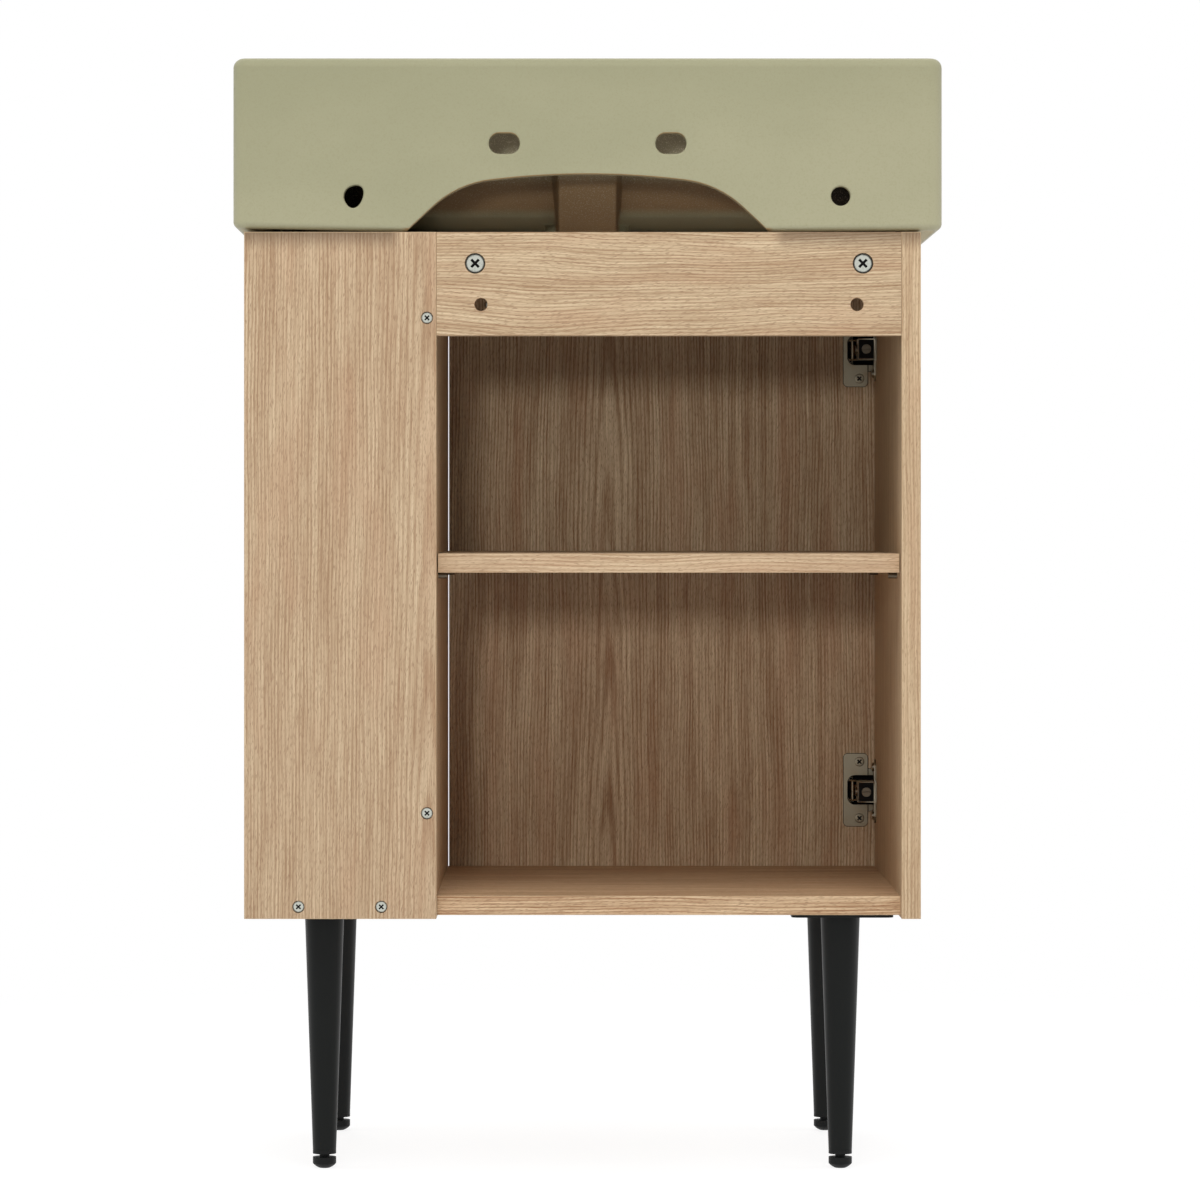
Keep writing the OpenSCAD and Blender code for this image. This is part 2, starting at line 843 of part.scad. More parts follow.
module shelf_pins() {
    color(zinc)
        for (y = shelf_pin_y) {
            cross_rod([side_in_x, 1, y, shelf_z - shelf_pin_d / 2],
                shelf_pin_d, shelf_pin_in, shelf_pin_out);
            cross_rod([bay_x, -1, y, shelf_z - shelf_pin_d / 2],
                shelf_pin_d, shelf_pin_in, shelf_pin_out);
        }
}

module dowels() {
    color(beech)
        for (spot = dowel_spots)
            cross_rod(spot, dowel_d, dowel_face_l, dowel_end_l);
}

module cam_bolts() {
    color(zinc)
        for (spot = cam_spots)
            cross_rod(spot, cam_bolt_d, cam_bolt_face_l, cam_reach - cam_d / 2 - pin_play);
}

module cam_locks() {
    color(zinc)
        for (spot = cam_spots)
            translate([spot[0] + spot[1] * cam_reach, spot[2], spot[3] - board_t / 2])
                difference() {
                    cylinder(h = cam_h, d = cam_d);
                    for (turn = [0, 90])
                        rotate(turn)
                            cube([cam_d / 2, cam_slot_w, 2 * cam_slot_depth], center = true);
                }
}

module corner_brackets() {
    half_h = bracket_h / 2;
    z = rail_screw_z;
    color(zinc) {
        difference() {
            union() {
                box(
                    [side_in_x, inset_back_y - bracket_t, z - half_h],
                    [side_in_x + bracket_rail_l, inset_back_y, z + half_h]
                );
                box(
                    [side_in_x, inset_back_y - bracket_side_l, z - half_h],
                    [side_in_x + bracket_t, inset_back_y, z + half_h]
                );
            }
            at_rail_screws() screw_hole(rail_screw_d, board_t + bracket_t);
            at_side_bracket_screws() screw_hole(bracket_screw_d, bracket_t + cut);
        }
        difference() {
            union() {
                box(
                    [bay_x - bracket_rail_l, inset_back_y - bracket_t, z - half_h],
                    [bay_x, inset_back_y, z + half_h]
                );
                box(
                    [bay_x - bracket_t, inset_back_y - bracket_side_l, z - half_h],
                    [bay_x, inset_back_y, z + half_h]
                );
            }
            at_rail_screws() screw_hole(rail_screw_d, board_t + bracket_t);
            at_divider_bracket_screws() screw_hole(bracket_screw_d, bracket_t + cut);
        }
    }
}

module bracket_screws() {
    color(zinc) {
        at_side_bracket_screws() bracket_screw();
        at_divider_bracket_screws() bracket_screw();
    }
}

module bracket_screw() {
    cross_screw(
        bracket_screw_head_d, bracket_screw_head_h, bracket_screw_d, bracket_screw_l
    );
}

module rail_screws() {
    color(zinc)
        at_rail_screws()
            cross_screw(rail_screw_head_d, rail_screw_head_h, rail_screw_d, rail_screw_l);
}

module niche_back_screws() {
    color(zinc)
        at_niche_back_screws()
            cross_screw(niche_screw_head_d, niche_screw_head_h, niche_screw_d, niche_screw_l);
}

// Door

door_screw_d = 4;
wing_screw_d = 3.8;
wing_screw_l = wing_t + 11;
wing_screw_head_d = 8;
wing_screw_head_h = 1;
knob_base_d = 14;
knob_base_l = 6;
knob_round = 2;
knob_screw_bite = 9;
knob_screw_head_d = 9;
knob_screw_head_h = 2.4;
bumper_d = 8;
bumper_inset = 12;

module at_knob() {
    translate([door_x1 - knob_inset, door_out_y, door_z1 - knob_drop]) children();
}

// Places the hinge's own frame: x into the cabinet's width, y into its depth
module at_hinge(i) {
    translate([axis_x, axis_y, hinge_z[i]]) children();
}

module at_wing_screws(i) {
    at_hinge(i)
        for (side = [-1, 1])
            translate([wing_screw_u, axis_depth + wing_t, side * wing_screw_pitch / 2])
                facing_back() children();
}

module door() {
    color(oak)
        difference() {
            box([door_x0, door_out_y, door_z0], [door_x1, door_in_y, door_z1]);
            for (i = [0, 1]) {
                at_hinge(i)
                    translate([cup_u, axis_depth - cup_depth - pin_play, 0])
                        facing_back() cylinder(h = cup_depth + cut, d = cup_d + pin_play);
                at_wing_screws(i) screw_hole(wing_screw_d, wing_screw_l);
            }
            at_knob() facing_front() screw_hole(door_screw_d, board_t + cut);
        }
}

module door_knob() {
    r = knob_d / 2;
    color(black)
        at_knob()
            facing_front()
                difference() {
                    rotate_extrude($fn = 96) {
                        square([knob_base_d / 2, knob_base_l + knob_round]);
                        translate([0, knob_base_l])
                            square([r - knob_round, knob_l - knob_base_l]);
                        translate([0, knob_base_l + knob_round])
                            square([r, knob_l - knob_base_l - 2 * knob_round]);
                        for (z = [knob_base_l + knob_round, knob_l - knob_round])
                            translate([r - knob_round, z]) circle(knob_round);
                    }
                    translate([0, 0, -cut])
                        cylinder(h = knob_screw_bite + 2 * cut, d = door_screw_d + pin_play);
                }
}

module knob_screw() {
    color(zinc)
        at_knob()
            translate([0, board_t, 0])
                facing_back()
                    cross_screw(
                        knob_screw_head_d, knob_screw_head_h,
                        door_screw_d, board_t + knob_screw_bite
                    );
}

module door_bumpers() {
    color(rubber)
        for (z = [board_mid_z, top_z - board_t / 2])
            translate([door_x1 - bumper_inset, side_front_y, z])
                facing_front() cylinder(h = door_gap - pin_play, d = bumper_d);
}

// Hinges

plate_top_u = panel_u + plate_t;
cup_pin_u = sqrt(guide_r * guide_r - cup_pin_v * cup_pin_v);
cup_pin_l = 24.4;
cup_rim_h = 1;
wing_round = 4;
mouth_round = 6;
mouth_l = 40;
link_eye_d = 4;
guide_play = 0.3;
outer_link_wall = 1;
outer_link_r0 = guide_r - link_half - guide_play - outer_link_wall;

// A stretch of a ring about the turning axis
module ring_stretch(r0, r1, a0, a1) {
    reach = 2 * r1;
    intersection() {
        difference() {
            circle(r1, $fn = 180);
            circle(r0, $fn = 180);
        }
        polygon([
            [0, 0],
            reach * [cos(a0), sin(a0)],
            reach * [cos((a0 + a1) / 2), sin((a0 + a1) / 2)],
            reach * [cos(a1), sin(a1)]
        ]);
    }
}

module slab(h) {
    linear_extrude(h, center = true) children();
}

module hinge_cup(i) {
    floor_v = axis_depth - cup_depth;
    color(nickel)
        difference() {
            at_hinge(i)
                difference() {
                    union() {
                        translate([cup_u, floor_v, 0])
                            facing_back() cylinder(h = cup_depth, d = cup_d);
                        translate([cup_u, axis_depth, 0])
                            facing_back() cylinder(h = cup_rim_h, d = cup_rim_d);
                        translate([wing_edge_u + wing_w / 2, 0, 0])
                            along_y(axis_depth, axis_depth + wing_t)
                                rounded_rectangle(wing_w, wing_h, wing_round);
                    }
                    translate([cup_u, floor_v + cup_wall, 0])
                        facing_back()
                            cylinder(h = cup_depth - cup_wall, d = cup_d - 2 * cup_wall);
                    along_y(axis_depth - pin_play, axis_depth + wing_t + cut) {
                        translate([mouth_end_u - mouth_l / 2, 0])
                            rounded_rectangle(mouth_l, mouth_h, mouth_round);
                        translate([mouth_end_u - mouth_l - mouth_round, -mouth_h / 2])
                            square([mouth_l, mouth_h]);
                    }
                    translate([cup_pin_u, cup_pin_v, 0])
                        cylinder(h = cup_pin_l + pin_play, d = hinge_pin_d + pin_play, center = true);
                }
            at_wing_screws(i) screw_hole(wing_screw_d, wing_screw_l);
        }
}

module upper_hinge_cup() { hinge_cup(1); }
module lower_hinge_cup() { hinge_cup(0); }

module hinge_cup_screws() {
    color(nickel)
        for (i = [0, 1])
            at_wing_screws(i)
                cross_screw(wing_screw_head_d, wing_screw_head_h, wing_screw_d, wing_screw_l);
}

module hinge_cup_pins() {
    color(nickel)
        for (i = [0, 1])
            at_hinge(i)
                translate([cup_pin_u, cup_pin_v, 0])
                    cylinder(h = cup_pin_l, d = hinge_pin_d, center = true);
}

module hinge_inner_link(i) {
    color(nickel)
        at_hinge(i)
            difference() {
                slab(inner_link_w) {
                    ring_stretch(guide_r - link_half, guide_r + link_half, -1, link_end_angle);
                    translate([cup_pin_u, cup_pin_v]) circle(d = link_eye_d);
                }
                translate([cup_pin_u, cup_pin_v, 0])
                    cylinder(h = 2 * inner_link_w, d = hinge_pin_d + pin_play, center = true);
            }
}

module upper_hinge_inner_link() { hinge_inner_link(1); }
module lower_hinge_inner_link() { hinge_inner_link(0); }

module hinge_outer_link(i) {
    color(nickel)
        at_hinge(i)
            difference() {
                slab(outer_link_w)
                    ring_stretch(
                        outer_link_r0, guide_r + link_half,
                        outer_link_start_angle, link_end_angle
                    );
                slab(outer_link_gap)
                    ring_stretch(
                        guide_r - link_half - guide_play, guide_r + 2 * link_half,
                        outer_link_gap_from, outer_link_gap_to
                    );
            }
}

module upper_hinge_outer_link() { hinge_outer_link(1); }
module lower_hinge_outer_link() { hinge_outer_link(0); }

// Side view of the arm's cheeks, with the nose that reaches into the cup
module cheek_outline() {
    polygon([
        [plate_top_u, arm_end_v],
        [arm_top_u, arm_end_v],
        [arm_top_u, web_v],
        [guide_r + 3.2, web_v - 4.3],
        [guide_r + 3.2, axis_depth + 2],
        [guide_r + 1.4, axis_depth + 1.7],
        [guide_r + 1.4, 3],
        [guide_r - 1, 1.2],
        [guide_r - 5.5, 1.2],
        [plate_top_u, axis_depth + 3.1]
    ]);
}

outer_guide_r = guide_r + link_half + guide_play + guide_pin_d / 2;
inner_guide_r = outer_link_r0 - guide_play - guide_pin_d / 2;
guide_spots = [
    outer_guide_r * [cos(outer_guide_angle), sin(outer_guide_angle)],
    inner_guide_r * [cos(inner_guide_angle), sin(inner_guide_angle)]
];
clamp_screw_v = 36;
end_screw_u = (plate_top_u + arm_top_u) / 2;
arm_screw_d = 4;
arm_screw_head_d = 8;
arm_screw_head_h = 1.8;
end_screw_l = 7;
plate_margin = 0.5;

module hinge_arm(i) {
    color(nickel)
        at_hinge(i)
            difference() {
                union() {
                    for (side = [-1, 1])
                        translate([0, 0, side * (arm_w - sheet_t) / 2])
                            slab(sheet_t) cheek_outline();
                    box(
                        [arm_top_u - sheet_t, web_v, -arm_w / 2],
                        [arm_top_u, arm_end_v, arm_w / 2]
                    );
                    box(
                        [plate_top_u, arm_end_v - sheet_t, -arm_w / 2],
                        [arm_top_u, arm_end_v, arm_w / 2]
                    );
                }
                for (spot = guide_spots)
                    translate(spot)
                        cylinder(h = 2 * arm_w, d = guide_pin_d + pin_play, center = true);
                translate([arm_top_u, clamp_screw_v, 0])
                    facing_right() screw_hole(arm_screw_d, 3 * sheet_t);
                translate([end_screw_u, arm_end_v, 0])
                    facing_back() screw_hole(arm_screw_d, 3 * sheet_t);
            }
}

module upper_hinge_arm() { hinge_arm(1); }
module lower_hinge_arm() { hinge_arm(0); }

module hinge_guide_pins() {
    color(nickel)
        for (i = [0, 1])
            at_hinge(i)
                for (spot = guide_spots)
                    translate(spot) cylinder(h = arm_w, d = guide_pin_d, center = true);
}

// A slotted screw. Its head stands on z = 0 and its shank goes down.
module slotted_screw(head_d, head_h, shank_d, shank_l) {
    difference() {
        union() {
            cylinder(h = head_h, d = head_d);
            translate([0, 0, -shank_l]) cylinder(h = shank_l + head_h / 4, d = shank_d);
        }
        translate([0, 0, head_h]) cube([head_d * 1.2, 1, head_h], center = true);
    }
}

module hinge_adjusting_screws() {
    color(nickel)
        for (i = [0, 1])
            at_hinge(i) {
                translate([arm_top_u, clamp_screw_v, 0])
                    facing_right()
                        slotted_screw(
                            arm_screw_head_d, arm_screw_head_h,
                            arm_screw_d, arm_top_u - plate_top_u
                        );
                translate([end_screw_u, arm_end_v, 0])
                    facing_back()
                        slotted_screw(
                            arm_screw_head_d, arm_screw_head_h, arm_screw_d, end_screw_l
                        );
            }
}

module hinge_mounting_plate(i) {
    color(nickel)
        at_hinge(i)
            along_x(panel_u, plate_top_u)
                difference() {
                    union() {
                        translate([plate_v[0], -arm_w / 2 - plate_margin])
                            square([plate_v[1] - plate_v[0], arm_w + 2 * plate_margin]);
                        translate([plate_screw_reach, 0])
                            rotate(90) slot_outline(plate_h, ear_w);
                    }
                    for (side = [-1, 1])
                        translate([plate_screw_reach, side * ear_screw_z])
                            circle(d = plate_screw_d + pin_play);
                }
}

module upper_hinge_mounting_plate() { hinge_mounting_plate(1); }
module lower_hinge_mounting_plate() { hinge_mounting_plate(0); }

module mounting_plate_screws() {
    color(nickel)
        at_mounting_plate_screws()
            cross_screw(plate_screw_head_d, plate_screw_head_h, plate_screw_d, plate_screw_l);
}

// Legs

tube_h = leg_plate_z - leg_z - plug_lip_h;
tube_taper = (leg_top_d - leg_foot_d) / tube_h;
plug_play = 0.2;
stem_play = 0.3;
stem_hole_d = stem_d + stem_play;
leg_plate_round = 6;
leg_screw_head_d = 8;
leg_screw_head_h = 2;
leg_screw_sink = 0.2;
dome_r = pad_h + 3.3;
dome_flat_r = 4;

module leg_plate(x, y) {
    color(black)
        translate([leg_x[x], leg_y[y], leg_plate_z])
            difference() {
                linear_extrude(leg_plate_t)
                    rounded_rectangle(leg_plate_w, leg_plate_w, leg_plate_round);
                for (dx = [-1, 1])
                    for (dy = [-1, 1])
                        translate([dx * leg_screw_pitch / 2, dy * leg_screw_pitch / 2, 0])
                            leg_screw_seat();
            }
}

// The countersunk hole in a leg plate, whose mouth is at z = 0
module leg_screw_seat() {
    seat_d = leg_screw_head_d + 2 * leg_screw_sink;
    translate([0, 0, -cut]) cylinder(h = leg_plate_t + 2 * cut, d = leg_screw_d + pin_play);
    translate([0, 0, -cut])
        cylinder(
            h = leg_screw_head_h + leg_screw_sink + cut,
            d1 = seat_d + 2 * cut,
            d2 = leg_screw_d + pin_play
        );
}

module leg(x, y) {
    color(black)
        translate([leg_x[x], leg_y[y], leg_z + plug_lip_h])
            difference() {
                cylinder(h = tube_h, d1 = leg_foot_d, d2 = leg_top_d, $fn = 96);
                translate([0, 0, -cut])
                    cylinder(
                        h = tube_h + cut,
                        d1 = leg_foot_d - 2 * leg_wall,
                        d2 = leg_top_d - 2 * leg_wall,
                        $fn = 96
                    );
            }
}

// The plastic plugs that close the tubes. The feet's stems run through them.
module leg_plugs() {
    plug_foot_d = leg_foot_d - 2 * (leg_wall + plug_play);
    color(black)
        for (x = leg_x)
            for (y = leg_y)
                translate([x, y, leg_z])
                    difference() {
                        union() {
                            cylinder(h = plug_lip_h, d = leg_foot_d, $fn = 96);
                            translate([0, 0, plug_lip_h - cut])
                                cylinder(
                                    h = plug_in_l + cut,
                                    d1 = plug_foot_d,
                                    d2 = plug_foot_d + plug_in_l * tube_taper,
                                    $fn = 96
                                );
                        }
                        translate([0, 0, -cut])
                            cylinder(h = plug_lip_h + plug_in_l + 2 * cut, d = stem_hole_d);
                    }
}

module foot(x, y) {
    dome_z = sqrt(dome_r * dome_r - dome_flat_r * dome_flat_r);
    color(black)
        translate([leg_x[x], leg_y[y], 0]) {
            rotate_extrude($fn = 96)
                intersection() {
                    square([leg_foot_d / 2, pad_h]);
                    translate([0, dome_z]) circle(dome_r, $fn = 180);
                }
            translate([0, 0, pad_h - cut]) cylinder(h = stem_l + cut, d = stem_d);
        }
}

module rear_left_leg_plate() { leg_plate(0, 0); }
module rear_right_leg_plate() { leg_plate(1, 0); }
module front_left_leg_plate() { leg_plate(0, 1); }
module front_right_leg_plate() { leg_plate(1, 1); }

module leg_plate_screws() {
    color(black)
        at_leg_screws()
            translate([0, 0, -leg_screw_sink])
                flat_screw(
                    leg_screw_head_d, leg_screw_head_h, leg_screw_d,
                    leg_plate_t + leg_screw_l - leg_screw_sink
                );
}

module rear_left_leg() { leg(0, 0); }
module rear_right_leg() { leg(1, 0); }
module front_left_leg() { leg(0, 1); }
module front_right_leg() { leg(1, 1); }

module rear_left_foot() { foot(0, 0); }
module rear_right_foot() { foot(1, 0); }
module front_left_foot() { foot(0, 1); }
module front_right_foot() { foot(1, 1); }

basin();
hinge_side_panel();
divider_panel();
niche_back_panel();
bottom_panel();
niche_bottom_panel();
niche_lower_shelf();
niche_upper_shelf();
niche_top_panel();
rear_rail();
front_rail();
inner_shelf();
shelf_pins();
door();
door_knob();
knob_screw();
door_bumpers();
upper_hinge_cup();
lower_hinge_cup();
hinge_cup_screws();
hinge_cup_pins();
upper_hinge_inner_link();
lower_hinge_inner_link();
upper_hinge_outer_link();
lower_hinge_outer_link();
upper_hinge_arm();
lower_hinge_arm();
hinge_guide_pins();
hinge_adjusting_screws();
upper_hinge_mounting_plate();
lower_hinge_mounting_plate();
mounting_plate_screws();
corner_brackets();
bracket_screws();
rail_screws();
niche_back_screws();
dowels();
cam_bolts();
cam_locks();
rear_left_leg_plate();
rear_right_leg_plate();
front_left_leg_plate();
front_right_leg_plate();
leg_plate_screws();
leg_plugs();
rear_left_leg();
rear_right_leg();
front_left_leg();
front_right_leg();
rear_left_foot();
rear_right_foot();
front_left_foot();
front_right_foot();
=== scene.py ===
"""A small vanity unit seen from behind: a sage basin on an oak-finish cabinet with black legs."""

import json
from functools import partial
from math import atan2, pi, radians, sin

import bmesh
import bpy
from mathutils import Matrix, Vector


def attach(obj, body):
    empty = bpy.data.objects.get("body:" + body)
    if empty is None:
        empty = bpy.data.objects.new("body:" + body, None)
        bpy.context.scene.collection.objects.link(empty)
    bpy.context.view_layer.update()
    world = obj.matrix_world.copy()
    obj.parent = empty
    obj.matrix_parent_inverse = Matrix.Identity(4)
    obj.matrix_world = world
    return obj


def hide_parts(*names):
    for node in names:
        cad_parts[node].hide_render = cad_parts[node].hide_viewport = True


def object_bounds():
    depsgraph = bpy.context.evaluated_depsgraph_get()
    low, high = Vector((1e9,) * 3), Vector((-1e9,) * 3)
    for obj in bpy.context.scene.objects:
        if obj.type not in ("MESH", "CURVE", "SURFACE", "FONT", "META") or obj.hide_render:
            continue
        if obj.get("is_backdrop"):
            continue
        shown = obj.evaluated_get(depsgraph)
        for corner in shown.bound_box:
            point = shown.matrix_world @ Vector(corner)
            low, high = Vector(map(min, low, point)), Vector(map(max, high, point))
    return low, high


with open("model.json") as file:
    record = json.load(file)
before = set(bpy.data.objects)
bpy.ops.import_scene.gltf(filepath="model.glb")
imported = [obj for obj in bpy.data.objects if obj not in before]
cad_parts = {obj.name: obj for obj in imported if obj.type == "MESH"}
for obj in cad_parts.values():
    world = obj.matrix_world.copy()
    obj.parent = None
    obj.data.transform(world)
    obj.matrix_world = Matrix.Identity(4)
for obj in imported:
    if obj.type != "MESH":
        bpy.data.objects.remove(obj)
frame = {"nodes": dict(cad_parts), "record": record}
cad_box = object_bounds()

MM = 0.001
BODIES = frame["record"]["behaviour"]["bodies"]
BODY_OF = {node: body for body, nodes in BODIES.items() for node in nodes}

# Places on the unit, in millimetres

BACK_Y = 210
RIM_Z = 873
BASIN_FOOT_Z = 737
BASIN_HALF_X = 277
HOLLOW_HALF_X = 265.5
HOLLOW_HALF_Y = 198.5
HOLLOW_LOW_Z = 737.5
HOLLOW_HIGH_Z = 859.5
BOWL_HALF_X = 250.5
BOWL_FRONT_Y = -190.5
BOWL_BACK_Y = 106.5
ABOVE_BOWL = (0, -42, 1000)
UNEVEN_HOLE_X = 182.5
UNEVEN_HOLE_Z = 765
HINGE_CUP_X = -238.2

# Where a finish on the basin changes, from its start to its full, in millimetres

# The painted shadow under the basin's foot, on the boards, spans this x
FOOT_SHADOW_X = (143, 155)
ARCH_LIP_X = (146, 140)
UNDERSIDE_Z = (764, 755)
DUCT_SIDE_X = (24, 28)
HIGH_IN_HOLLOW_Z = (778, 794)
# Near-black painted shade at both ends of the basin's hollow runs over this x
SHADED_END_X = (150, 185)
END_WALL_X = (244, 250)

# Helpers for finishes


def shade(red, green, blue):
    """A colour as it looks on screen, 0 to 255, in the shader's own numbers."""
    screen = [part / 255 for part in (red, green, blue)]
    plain = [part / 12.92 if part <= 0.04045 else ((part + 0.055) / 1.055) ** 2.4 for part in screen]
    return (*plain, 1)


class Value:
    """A number or colour that changes over a finish. Sums on a number add Math nodes."""

    def __init__(self, finish, socket):
        self.finish = finish
        self.socket = socket

    def math(self, operation, *terms):
        return self.finish.add("ShaderNodeMath", {"operation": operation}, terms)

    def __add__(self, other):
        return self.math("ADD", self, other)

    __radd__ = __add__

    def __sub__(self, other):
        return self.math("SUBTRACT", self, other)

    def __rsub__(self, other):
        return self.math("SUBTRACT", other, self)

    def __mul__(self, other):
        return self.math("MULTIPLY", self, other)

    __rmul__ = __mul__

    def __truediv__(self, other):
        return self.math("DIVIDE", self, other)

    def __pow__(self, other):
        return self.math("POWER", self, other)

    def __abs__(self):
        return self.math("ABSOLUTE", self)

    def sine(self):
        return self.math("SINE", self)


class Finish:
    """A material or a world that starts with no nodes, and the ways to add them."""

    def __init__(self, name, world=False):
        self.owner = (bpy.data.worlds if world else bpy.data.materials).new(name)
        self.owner.use_nodes = True
        self.tree = self.owner.node_tree
        self.tree.nodes.clear()

    def add(self, kind, settings=None, sockets=(), output=0):
        """A node with its settings, then the values or links of its sockets. Gives one output."""
        node = self.tree.nodes.new(kind)
        for setting, value in (settings or {}).items():
            setattr(node, setting, value)
        pairs = sockets.items() if isinstance(sockets, dict) else enumerate(sockets)
        for socket, value in pairs:
            if isinstance(value, Value):
                self.tree.links.new(value.socket, node.inputs[socket])
            else:
                node.inputs[socket].default_value = value
        return Value(self, node.outputs[output] if node.outputs else None)

    def split(self, vector):
        """The x, y and z of a vector."""
        first = self.add("ShaderNodeSeparateXYZ", {}, (vector,))
        return [Value(self, socket) for socket in first.socket.node.outputs]

    def place(self):
        """Where a point of the piece is, as x, y and z in millimetres."""
        spot = self.add("ShaderNodeTexCoord", output="Object")
        return [part / MM for part in self.split(spot)]

    def noise(self, x, y, z, detail=2.0):
        """Soft noise from 0 to 1, whose grains are about one unit of x, y and z."""
        vector = self.add("ShaderNodeCombineXYZ", {}, (x, y, z))
        return self.add("ShaderNodeTexNoise", {}, {"Vector": vector, "Scale": 1.0, "Detail": detail})

    def rise(self, value, low, high):
        """0 up to low, 1 from high on and a smooth slope between. It falls where high is the smaller."""
        sockets = {"Value": value, "From Min": low, "From Max": high}
        return self.add("ShaderNodeMapRange", {"interpolation_type": "SMOOTHSTEP"}, sockets)

    def blend(self, factor, first, second):
        """Two colours, mixed by a factor."""
        sockets = {0: factor, 6: first, 7: second}
        return self.add("ShaderNodeMix", {"data_type": "RGBA"}, sockets, output=2)

    def bump(self, height, depth_mm):
        """A relief whose height of 1 stands this many millimetres high."""
        return self.add("ShaderNodeBump", {}, {"Height": height, "Distance": depth_mm * MM})

    def coat(self, sockets):
        """Ends the material in one shader with these sockets, and gives the material."""
        shader = self.add("ShaderNodeBsdfPrincipled", {}, sockets)
        self.add("ShaderNodeOutputMaterial", {}, (shader,))
        return self.owner


# Finishes

OAK = (190, 162, 131)
OAK_TONES = ((214, 190, 157), (162, 129, 98), (184, 145, 114), (136, 100, 73))
RING_MM = 2.7
BEND_MM = 11
WAVE_MM = 1.1


def oak(name, along, across, core, sway, contrast, lift, shadow_under_foot=False):
    """Matt oak-finish board: growth rings round a core, long fine fibres and short dark pores.

    The grain bends by the sway. Its tones are OAK_TONES, spread from OAK by the contrast, plus the lift.
    Boards under the basin's foot can get a painted shadow there.
    """
    finish = Finish(name)
    through = next(axis for axis in "xyz" if axis not in (along, across))
    spot = dict(zip("xyz", finish.place()))
    facing = dict(zip("xyz", finish.split(finish.add("ShaderNodeTexCoord", output="Normal"))))
    end = finish.rise(abs(facing[along]), 0.6, 0.8)
    broad = finish.rise(abs(facing[through]), 0.6, 0.8)
    run = spot[along] + (spot[across] - spot[along]) * end
    over = spot[through] + (spot[across] - spot[through]) * broad
    deep = spot[through] + core
    bend = finish.noise(run / 190, over / 90, deep / 60, detail=1) - 0.5
    wave = finish.noise(run / 22, over / 12, deep / 9, detail=1) - 0.5
    flow = over + BEND_MM * sway * bend + WAVE_MM * wave
    side = flow - core
    height = 10 + 0.02 * run
    ring = (side * side + height * height) ** 0.5
    drift = finish.noise(ring / 16, run / 150, side / 50, detail=1)
    rings = ((ring * (2 * pi / RING_MM) + 7 * drift).sine() * 0.5 + 0.5) ** 2
    fibres = finish.noise(flow / 0.55, run / 18 + flow * 0.83, deep / 3, detail=1)
    dashes = finish.noise(flow / 0.5, run / 3.5 + flow * 1.37, deep / 3, detail=0)
    streaks = finish.noise(flow / 0.9, run / 80 + flow * 0.29, deep / 5, detail=1)
    belts = finish.noise(ring / 10, run / 200 + ring * 0.05, side / 50)
    tone = 0.4 * rings + 0.28 * finish.rise(fibres, 0.34, 0.66)
    tone = tone + 0.34 * finish.rise(streaks, 0.34, 0.66) + 0.24 * finish.rise(belts, 0.36, 0.66)
    light, dark, warm, pore = (
        shade(*(mid + contrast * (part - mid) + more for part, mid, more in zip(colour, OAK, lift)))
        for colour in OAK_TONES
    )
    colour = finish.blend(tone, light, dark)
    patches = finish.noise(run / 120, over / 22, deep / 22)
    colour = finish.blend(0.35 * finish.rise(patches, 0.45, 0.75), colour, warm)
    pits = finish.rise(dashes, 0.58, 0.74)
    colour = finish.blend(0.55 * pits, colour, pore)
    # Painted shadow under the basin's foot: the board's face darkens just below it
    if shadow_under_foot:
        foot_shadow = finish.rise(spot["z"], BASIN_FOOT_Z - 17, BASIN_FOOT_Z + 2)
        foot_shadow = foot_shadow * finish.rise(spot["y"], BACK_Y - 1.5, BACK_Y - 0.5)
        foot_shadow = foot_shadow * finish.rise(abs(spot["x"]), *FOOT_SHADOW_X)
        colour = finish.blend(0.75 * foot_shadow, colour, shade(104, 84, 64))
    return finish.coat({
        "Base Color": colour,
        "Roughness": 0.58 + 0.1 * streaks,
        "Normal": finish.bump(0.5 * streaks - pits, 0.05),
    })


def board_edge(name, light_tone, dark_tone):
    """The edge band's glue line along a board's corners, in two tones mixed by noise; with the rear
    rail's darker tones it is painted shade along its corners and joints.
    """
    finish = Finish(name)
    x, y, z = finish.place()
    wear_and_shade = finish.noise(x / 9, y / 9, z / 9, detail=3)
    colour = finish.blend(wear_and_shade, shade(*light_tone), shade(*dark_tone))
    return finish.coat({"Base Color": colour, "Roughness": 0.5})


def sage_glaze():
    """Matt sage ceramic, with the faint clouds and orange peel of a sprayed glaze."""
    finish = Finish("sage_glaze")
    x, y, z = finish.place()
    clouds = finish.noise(x / 120, y / 120, z / 60, detail=3)
    grain = finish.noise(x / 1.3, y / 1.3, z / 1.3, detail=2)
    peel = finish.noise(x / 7, y / 7, z / 7)
    # Painted light: the glaze gets lighter towards the foot and towards the -x end, with random clouds
    # on top
    from_rim = 0.5 * (RIM_Z - z) / (RIM_Z - BASIN_FOOT_Z)
    from_side = 0.35 * (BASIN_HALF_X - x) / (2 * BASIN_HALF_X)
    light_ramp_and_clouds = from_rim + from_side + 0.6 * (clouds - 0.5)
    colour = finish.blend(finish.rise(light_ramp_and_clouds, 0, 0.9), shade(153, 151, 121), shade(170, 166, 136))
    colour = finish.blend(0.22 * finish.rise(grain, 0.45, 0.75), colour, shade(142, 137, 104))
    up = finish.split(finish.add("ShaderNodeTexCoord", output="Normal"))[2]
    arch_lip = finish.rise(up, -0.25, -0.7) * finish.rise(y, BACK_Y - 5, BACK_Y - 3)
    arch_lip = arch_lip * finish.rise(abs(x), *ARCH_LIP_X)
    colour = finish.blend(0.8 * arch_lip, colour, shade(150, 118, 74))
    return finish.coat({
        "Base Color": colour,
        "Roughness": 0.4 + 0.12 * grain,
        "Normal": finish.bump(peel + 0.15 * grain, 0.05),
    })


